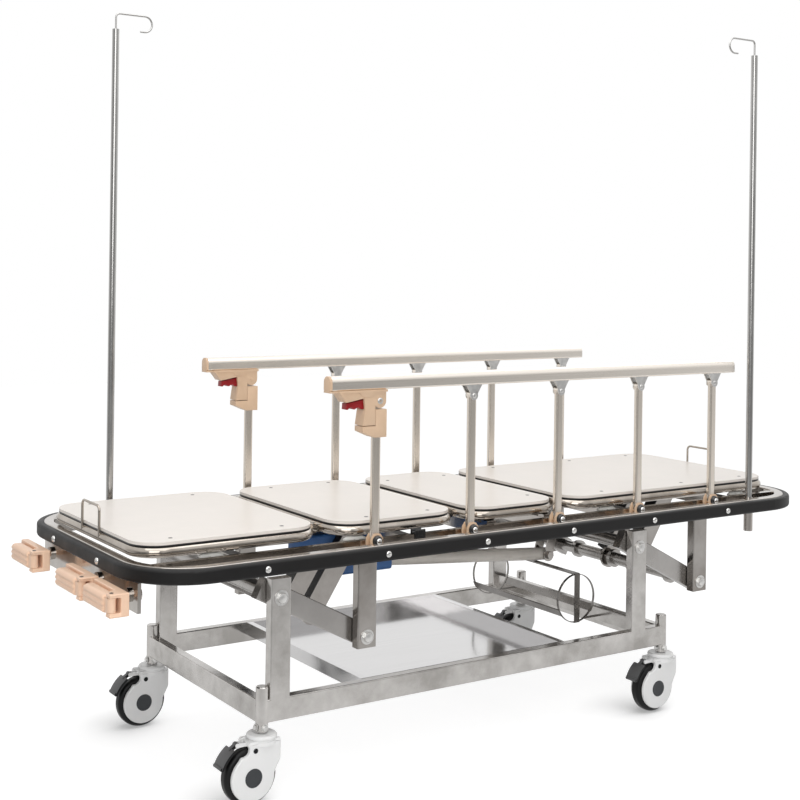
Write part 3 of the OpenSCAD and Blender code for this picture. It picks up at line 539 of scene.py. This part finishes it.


# Brace webs: the braces are channels of folded sheet. Their webs face the foot end
# and are coloured near black between the polished flanges, as painted shade for the shadow inside the
# open channels.

brace_tilt = math.radians(57)
up_brace = Vector((math.cos(brace_tilt), 0, math.sin(brace_tilt)))
off_brace = Vector((-math.sin(brace_tilt), 0, math.cos(brace_tilt)))
web_ends, web_top, web_foot, web_sheet, web_bend = (0.018, 0.194), 0.0274, -0.010, 0.0024, 0.004
foot_pivot, head_pivot = hanger_pivots
shape = bmesh.new()
for (pivot_x, pivot_z), near, far in ((foot_pivot, -0.0563, -0.0300), (foot_pivot, 0.0477, 0.0880),
                                      (head_pivot, -0.0563, -0.0160), (head_pivot, 0.0477, 0.0880)):
    section = [(near, web_top - web_sheet), (near, web_top)]
    section += arc(far - web_bend, web_top - web_bend, web_bend, range(90, -1, -15))
    section += [(far, web_foot), (far - web_sheet, web_foot), (far - web_sheet, web_top - web_sheet)]
    ends = []
    for along in web_ends:
        foot = Vector((pivot_x, 0, pivot_z)) + up_brace * along
        ends.append([shape.verts.new(foot + off_brace * rise + Vector((0, y, 0)))
                     for y, rise in section])
    lofted(shape, ends)
# Near black is painted shade, the shadow inside the channels, not the sheet's own colour.
web_painted_shade = moulded("web_painted_shade", (36, 35, 35), (27, 26, 26), (0.34, 0.46), 500.0)
finished(shape, "brace_webs", web_painted_shade, "deck")


# Bumper: an extruded black rubber band round the deck, held on by domed cross
# screws. The rubber is matt with a soft sheen.

bumper_black = moulded("bumper_black", (22, 21, 21), (17, 16, 16), (0.42, 0.54), 420.0, 0.0, 0.12)
dulled(bumper_black, 0.3)
dress(bumper_black, "bumper")


def screw_head(name, radius, rise, crossed):
    """Domed head, with a cross recess or none, standing on z = 0."""
    def cross(angle):
        arm = abs((math.degrees(angle) + 45) % 90 - 45)
        return radius * (0.52 if arm < 12 else 0.2)

    shape = bmesh.new()
    rows = [ring(shape, 32, rise * level, lambda angle: radius * share)
            for share, level in ((1.0, 0.0), (1.0, 0.25), (0.93, 0.55), (0.78, 0.82), (0.6, 0.97))]
    if crossed:
        rows += [ring(shape, 32, rise * level, cross) for level in (1.0, 0.45)]
    lofted(shape, rows)
    return as_object(name, mesh_of(shape, name))


cup_screw = screw_head("cup_screw_pattern", 0.0075, 0.0045, True)
low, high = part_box("bumper")
screw_z = (low.z + high.z) / 2
deck_mid = (low.x + high.x) / 2
cup_spots = []
for x in (-0.728, -0.424, -0.146, 0.119, 0.391, 0.660):
    cup_spots.append(((deck_mid + x, low.y, screw_z), (0, -1, 0)))
    cup_spots.append(((deck_mid + x, high.y, screw_z), (0, 1, 0)))
for y in (-0.131, 0.131):
    cup_spots.append(((low.x, y, screw_z), (-1, 0, 0)))
    cup_spots.append(((high.x, y, screw_z), (1, 0, 0)))
cup_steel = polished_steel("cup_steel", (226, 225, 223), (210, 209, 207), 60.0, (0.1, 0.16), 0.05)
cup_screws = fasten("cup_screws", cup_screw, cup_spots, cup_steel, "deck")
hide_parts("bumper_screws")


# Rest sleeves: pale grey plastic sleeves on brackets at the side bars, which the
# board frames come down on without a clank. A bent wire holds each one.

sleeve_grey = moulded("sleeve_grey", (208, 207, 203), (196, 195, 191), (0.4, 0.52), 800.0)
dress(sleeve_grey, "rest_pads")


def bent_wire(name, paths, radius, material, body):
    """Round wire swept along paths of points."""
    curve = bpy.data.curves.new(name, "CURVE")
    curve.dimensions = "3D"
    curve.bevel_depth = radius
    curve.bevel_resolution = 4
    curve.use_fill_caps = True
    for path in paths:
        line = curve.splines.new("POLY")
        line.points.add(len(path) - 1)
        for point, spot in zip(line.points, path):
            point.co = (*spot, 1)
    mesh = baked(as_object(name + "_path", curve), name)
    mesh.materials.clear()
    mesh.materials.append(material)
    smoothed(mesh, 50)
    piece = as_object(name, mesh)
    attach(piece, body)


wire_half, wire_bend, wire_z, wire_in, wire_out = 0.032, 0.006, 0.5356, 0.262, 0.2795
bend = [(wire_bend * math.sin(k * math.pi / 12), wire_bend * (1 - math.cos(k * math.pi / 12)))
        for k in range(7)]
sleeve_wires = []
for x in (-0.775, -0.410, 0.366, 0.853):
    for way in (-1, 1):
        left = [(x - wire_half + b, way * (wire_in - a), wire_z) for a, b in bend]
        right = [(x + wire_half - b, way * (wire_in - a), wire_z) for a, b in reversed(bend)]
        sleeve_wires.append([(x - wire_half, way * wire_out, wire_z)] + left + right
                            + [(x + wire_half, way * wire_out, wire_z)])
bent_wire("sleeve_wires", sleeve_wires, 0.0022, bright_steel, "deck")


# Rubber clips: black cradles pushed over the side bars, which the folded rail
# comes down beside. Each is a short length of extruded rubber.

clip_half, clip_wall, clip_foot, bar_top, bar_y = 0.0078, 0.0028, 0.509, 0.5392, 0.2865
clip_ends = (-0.267, -0.239)
lip = [(clip_half + clip_wall, clip_foot), (clip_half + clip_wall, 0.548),
       (clip_half + 0.0008, 0.5495), (clip_half - 0.0012, 0.5475),
       (clip_half - 0.0022, bar_top + 0.0042), (clip_half - 0.0048, bar_top + 0.0026)]
clip_outline = [(-y, z) for y, z in lip] + list(reversed(lip))
clip_outline += [(clip_half, clip_foot), (clip_half, bar_top),
                 (-clip_half, bar_top), (-clip_half, clip_foot)]
shape = bmesh.new()
for way in (-1, 1):
    lofted(shape, [[shape.verts.new((x, way * bar_y + y, z)) for y, z in clip_outline]
                   for x in clip_ends])
clip_black = moulded("clip_black", (40, 40, 41), (30, 30, 31), (0.2, 0.32), 500.0, 0.1)
finished(shape, "rubber_clips", clip_black, "deck")


# Cranks: beige moulded channels on steel shafts, each with a pillow-shaped grip
# that folds into the channel on a steel pin. Two long grooves take the fingers.

crank_beige = moulded("crank_beige", (243, 207, 179), (236, 198, 169), (0.3, 0.4), 760.0, 0.05)
pin_dark = polished_steel("pin_dark", (92, 88, 84), (64, 61, 58), 90.0, (0.3, 0.45))
grip_half, grip_tall, grip_x, grip_z = 0.013, 0.0195, -1.022, 0.474
pin_back, pin_reach = 0.062, 0.0239


def grip_section():
    """Outline of the grip across its length: full round in front, eased behind."""
    front_bend, back_bend = 0.0105, 0.004
    groove_z, groove_half, groove_deep = 0.0058, 0.0042, 0.0026
    outline = []
    for way_x, way_z, bend, first in ((-1, 1, front_bend, 90), (-1, -1, front_bend, 180),
                                      (1, -1, back_bend, 270), (1, 1, back_bend, 0)):
        outline += arc(way_x * (grip_half - bend), way_z * (grip_tall - bend), bend,
                       [first + 11.25 * k for k in range(9)])
        if first == 90:
            outline += [(-grip_half, z / 1000) for z in range(8, -9, -1)]
    grooved = []
    for x, z in outline:
        off = abs(abs(z) - groove_z)
        if x < 0 and off < groove_half:
            x += groove_deep * math.cos(off / groove_half * math.pi / 2)
        grooved.append((x, z))
    return grooved


def pillow_grip(label, y):
    """Grip with both ends closed in round, and the tongue that the pin goes through."""
    start, end = y - 0.045, y + 0.071
    start_round, end_round, start_inset, end_inset = 0.006, 0.014, 0.006, 0.011
    stations = []
    for k in range(1, 7):
        turn = k * math.pi / 12
        stations.append((start + start_round * (1 - math.cos(turn)), math.sin(turn), start_inset))
    for k in range(8, 0, -1):
        turn = k * math.pi / 16
        stations.append((end - end_round * (1 - math.cos(turn)), math.sin(turn), end_inset))
    outline = grip_section()
    shape = bmesh.new()
    rows = []
    for along, share, inset in stations:
        thin_x = 1 - inset * (1 - share) / grip_half
        thin_z = 1 - inset * (1 - share) / grip_tall
        rows.append([shape.verts.new((grip_x + x * thin_x, along, grip_z + z * thin_z))
                     for x, z in outline])
    lofted(shape, rows)
    tongue_tall = 0.029
    bmesh.ops.create_cone(shape, cap_ends=True, segments=32, radius1=0.009, radius2=0.009,
                          depth=tongue_tall,
                          matrix=Matrix.Translation((grip_x, y - pin_back, grip_z)))
    bmesh.ops.create_cube(shape, size=1.0, matrix=Matrix.Translation((grip_x, y - 0.0505, grip_z))
                          @ Matrix.Diagonal((0.016, 0.023, tongue_tall, 1)))
    grip = "grip_" + label
    piece = finished(shape, grip + "_moulded", crank_beige, body_of[grip], 42)
    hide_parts(grip)


for label, y in (("back", 0.205), ("lift", -0.088), ("knee", -0.250)):
    crank = "crank_" + label
    rounded(crank, 0.0011, crank_beige, melt=14)
    pillow_grip(label, y)
    spots = [((grip_x, y - pin_back, grip_z + way * pin_reach), (0, 0, way)) for way in (1, -1)]
    disc("grip_pins_" + label, spots, 0.0042, 0.0009, 0.3, pin_dark, crank)


# Drive: an off-white painted tube that pushes the lift, with a blue moulded cover
# over its gear end.

drive_white = moulded("drive_white", (226, 220, 212), (214, 208, 200), (0.3, 0.42), 300.0, 0.2, 0.05)
dress(drive_white, "drive_tube")
cover_blue = moulded("cover_blue", (66, 112, 172), (56, 98, 156), (0.36, 0.5), 600.0)
rounded("drive_cover", 0.0015, cover_blue, 2)


# Board frames: bent loops of round stainless tube, brightly polished, hinged to
# each other by welded eyes and pins.

loop_steel = polished_steel("loop_steel", (190, 182, 173), (158, 150, 141), 9.0, (0.06, 0.15), 0.08)
dress(loop_steel, "calf_frame", "thigh_frame", "seat_frame", "back_frame")


# Boards: compact laminate with a warm white face and a black core that shows as
# a dark line below the white edge. Small countersunk screws hold each to its loop.

laminate, tree, shader, place = blank_material("board_laminate", coat=0.1)
low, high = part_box("calf_board")
core_low, core_high = low.z + 0.0032, low.z + 0.0036
split = tree.nodes.new("ShaderNodeSeparateXYZ")
tree.links.new(place, split.inputs["Vector"])
core = spread(tree, split.outputs["Z"], core_low, core_high, 1, 0)
out = placed(tree, skin, place, Peel_scale=620.0, Light=linear(238, 231, 224),
             Dark=linear(233, 226, 218), Gloss_low=0.3, Gloss_high=0.4)
tree.links.new(mixed(tree, core, out["Color"], linear(30, 29, 29)), shader.inputs["Base Color"])
tree.links.new(out["Roughness"], shader.inputs["Roughness"])
bumped(tree, shader, out["Height"], 0.05, 0.0004)
dress(laminate, "calf_board", "thigh_board", "seat_board", "back_board")
board_screw = screw_head("board_screw_pattern", 0.005, 0.0006, True)
screw_dark = polished_steel("screw_dark", (128, 124, 120), (96, 93, 90), 90.0, (0.3, 0.45))
for body, xs, half in (("calf", (-0.855, -0.584), 0.227), ("thigh", (-0.359, -0.184), 0.227),
                       ("deck", (-0.024, 0.165), 0.18), ("back", (0.377, 0.670, 0.901), 0.227)):
    spots = [((x, y, high.z), (0, 0, 1)) for x in xs for y in (-half, half)]
    fasten("board_screws_" + body, board_screw, spots, screw_dark, body)


# Side rails: champagne anodised aluminium bars and posts that fold towards the
# foot end. They stand on beige moulded feet with black caps and bright domed nuts,
# and a beige latch with a red trigger locks them upright.

post_xs = [-0.387 + 0.272 * k for k in range(5)]
rail_y, upper_pivot_z, foot_pivot_z = 0.3045, 0.856, 0.540
latch_face, ear_face, dome_face, cap_face, bracket_top = 0.0168, 0.0103, 0.0200, 0.0126, 0.8812
bar_finish = drawn_metal("champagne_anodised", (2.5, 520, 520), (251, 244, 235), (242, 234, 224),
                         0.25, 0.1, 0.0004)
post_finish = drawn_metal("champagne_posts", (520, 520, 2.5), (238, 229, 218), (228, 219, 208),
                          0.22, 0.1, 0.0004)
latch_beige = moulded("latch_beige", (217, 187, 158), (208, 177, 147), (0.32, 0.44), 760.0, 0.05)
crimson = moulded("crimson_plastic", (152, 6, 18), (134, 5, 14), (0.3, 0.4), 760.0)
cap_black = moulded("cap_black", (38, 38, 39), (30, 30, 31), (0.2, 0.3), 500.0, 0.2)
latch_screw = screw_head("latch_screw_pattern", 0.0075, 0.0030, True)
foot_dome = screw_head("foot_dome_pattern", 0.0072, 0.0046, False)
ear_screw = screw_head("ear_screw_pattern", 0.0060, 0.0024, True)

feet = rounded("rail_feet", 0.0012, latch_beige, 2)
feet.data.materials.append(cap_black)
for face in feet.data.polygons:
    if abs(face.center.y) > rail_y + cap_face:
        face.material_index = 1
domes = []
for side, way in (("near", -1), ("far", 1)):
    dress(bar_finish, "rail_" + side)
    dress(post_finish, *["post_%s_%d" % (side, k) for k in range(1, 6)])
    bar = nodes["rail_" + side].data
    bar.materials.append(bright_steel)
    for face in bar.polygons:
        if face.center.z < bracket_top:
            face.material_index = 1
    rounded("latch_" + side, 0.0010, latch_beige, 2)
    rounded("catch_" + side, 0.0010, latch_beige, 2)
    rounded("trigger_" + side, 0.0015, crimson)
    for name, pattern, xs, face_y in (("latch_screw_", latch_screw, post_xs[:1], latch_face),
                                      ("ear_screws_", ear_screw, post_xs[1:], ear_face)):
        spots = [((x, way * (rail_y + face_y), upper_pivot_z), (0, way, 0)) for x in xs]
        fasten(name + side, pattern, spots, bright_steel, side + "_rail")
    domes += [((x, way * (rail_y + dome_face), foot_pivot_z), (0, way, 0)) for x in post_xs]
fasten("foot_domes", foot_dome, domes, cup_steel, "deck")

# The patterns of the fasteners have been copied wherever they go.
for pattern in (stem_bolt, pivot_bolt, cup_screw, board_screw, latch_screw, foot_dome, ear_screw):
    bpy.data.objects.remove(pattern)


# Drip poles: straight stainless tube standing loose in the deck's sockets, with
# a bent wire hook welded into the top.

pole_steel = polished_steel("pole_steel", (194, 193, 191), (180, 179, 177), 5.0, (0.14, 0.22), 0.05)
dress(pole_steel, "pole_near", "pole_far")


# Studio: white floor and surround, broad soft lamps above and at the sides, and
# the camera where the photograph was taken from.

scene = bpy.context.scene
scene.view_settings.view_transform = "Standard"
world = bpy.data.worlds.new("surround")
scene.world = world
world.use_nodes = True
tree = world.node_tree


def seen_plainly(tree, paths):
    """One for a ray that comes from the eye, straight or through glass."""
    pick = tree.nodes.new("ShaderNodeMath")
    pick.operation = "MAXIMUM"
    tree.links.new(paths["Is Camera Ray"], pick.inputs[0])
    tree.links.new(paths["Is Transmission Ray"], pick.inputs[1])
    return pick.outputs[0]


def reach_along(tree, vector, direction):
    """How far a vector reaches in a fixed direction."""
    dot = tree.nodes.new("ShaderNodeVectorMath")
    dot.operation = "DOT_PRODUCT"
    dot.inputs[1].default_value = direction
    tree.links.new(vector, dot.inputs[0])
    return dot.outputs["Value"]


# The surround is white to the eye and dimmer as a light. Steel sees the white
# backdrop behind the object, a bright ceiling and a greyer, uneven room in front.
back_x, back_y = 0.54, 0.84
paths = tree.nodes.new("ShaderNodeLightPath").outputs
aim = tree.nodes.new("ShaderNodeTexCoord").outputs["Generated"]
split = tree.nodes.new("ShaderNodeSeparateXYZ")
tree.links.new(aim, split.inputs["Vector"])
front = spread(tree, noise_in(tree, aim, 1.7, 1.0), 0.38, 0.62, 0.24, 0.66)
walls = spread(tree, reach_along(tree, aim, (back_x, back_y, 0)), -0.1, 0.4, front, 0.98)
room = spread(tree, split.outputs["Z"], 0.05, 0.55, walls, 1.05)
fill = spread(tree, paths["Is Glossy Ray"], 0, 1, 0.46, room)
sky = tree.nodes["Background"]
sky.inputs["Color"].default_value = (1, 1, 1, 1)
tree.links.new(spread(tree, seen_plainly(tree, paths), 0, 1, fill, 1.0), sky.inputs["Strength"])

# The floor is white paper with a soft shadow that leans away from each wheel.
# In steel it fades from the backdrop's white to the darker room in front.
floor_half = 9
floor_mesh = bpy.data.meshes.new("floor")
floor_mesh.from_pydata([(-floor_half, -floor_half, 0), (floor_half, -floor_half, 0),
                        (floor_half, floor_half, 0), (-floor_half, floor_half, 0)],
                       [], [(0, 1, 2, 3)])
floor = as_object("floor", floor_mesh)
material, tree, shader, place = blank_material("floor_white")
shader.inputs["Base Color"].default_value = (0.8, 0.8, 0.8, 1)
shader.inputs["Roughness"].default_value = 0.7
paths = tree.nodes.new("ShaderNodeLightPath").outputs
dim = tree.nodes.new("ShaderNodeBsdfDiffuse")
dim.inputs["Color"].default_value = (0.42, 0.42, 0.42, 1)
paper = spread(tree, reach_along(tree, place, (-back_x, -back_y, 0)), 0.8, 1.9, 0.56, 0.1)
lean = tree.nodes.new("ShaderNodeCombineXYZ")
for label, value in zip("XYZ", (0.482, -0.311, 0.819)):
    lean.inputs[label].default_value = value
contact = tree.nodes.new("ShaderNodeAmbientOcclusion")
contact.inputs["Distance"].default_value = 0.16
tree.links.new(lean.outputs["Vector"], contact.inputs["Normal"])
shadowed = spread(tree, contact.outputs["AO"], 0.45, 0.97, 0.30, 0.82)
surface = shader.outputs["BSDF"]
for seen, strength in ((seen_plainly(tree, paths), shadowed), (paths["Is Glossy Ray"], paper)):
    glow = tree.nodes.new("ShaderNodeEmission")
    tree.links.new(strength, glow.inputs["Strength"])
    both = tree.nodes.new("ShaderNodeAddShader")
    tree.links.new(dim.outputs["BSDF"], both.inputs[0])
    tree.links.new(glow.outputs["Emission"], both.inputs[1])
    choice = tree.nodes.new("ShaderNodeMixShader")
    tree.links.new(seen, choice.inputs["Fac"])
    tree.links.new(surface, choice.inputs[1])
    tree.links.new(both.outputs["Shader"], choice.inputs[2])
    surface = choice.outputs["Shader"]
tree.links.new(surface, tree.nodes["Material Output"].inputs["Surface"])
floor_mesh.materials.append(material)

# Each lamp: where it hangs, where it points, its size, its power, and whether
# it shows in polished steel.
for label, spot, target, size, power, mirrored in (
        ("top_lamp", (-0.6, -0.8, 3.4), (0, 0, 0.4), 3.2, 52, True),
        ("near_lamp", (-2.6, -3.4, 2.2), (0, 0, 0.5), 2.4, 40, True),
        ("far_lamp", (3.0, 1.4, 3.2), (0, 0, 0.5), 2.4, 12, True),
        ("low_lamp", (-1.7, -3.4, 0.7), (-0.1, 0, 0.2), 2.0, 16, False)):
    lamp = bpy.data.lights.new(label, "AREA")
    lamp.energy = power
    lamp.size = size
    holder = as_object(label, lamp)
    holder.location = spot
    holder.rotation_euler = (Vector(target) - Vector(spot)).to_track_quat("-Z", "Y").to_euler()
    holder.visible_glossy = mirrored

# The camera's place, turn, focal length and centre were fitted to points of the
# photograph, in pixels of its frame.
camera_place, yaw, roll = (-2.0748, -2.8415, 1.168), 0.5736, 0.014
frame_px, focal_px, centre_px = 800, 1346.7, (360, 262.07)
camera_data = bpy.data.cameras.new("camera")
camera = as_object("camera", camera_data)
right = Vector((math.cos(yaw), -math.sin(yaw), 0))
up = Vector((0, 0, 1))
ahead = Vector((math.sin(yaw), math.cos(yaw), 0))
across = right * math.cos(roll) + up * math.sin(roll)
upward = up * math.cos(roll) - right * math.sin(roll)
turn = Matrix((across, upward, -ahead)).transposed().to_4x4()
camera.matrix_world = Matrix.Translation(camera_place) @ turn
camera_data.sensor_width = 36
camera_data.lens = focal_px * camera_data.sensor_width / frame_px
camera_data.shift_x = (frame_px / 2 - centre_px[0]) / frame_px
camera_data.shift_y = (centre_px[1] - frame_px / 2) / frame_px
camera_data.clip_end = 60
scene.camera = camera

bpy.context.view_layer.update()
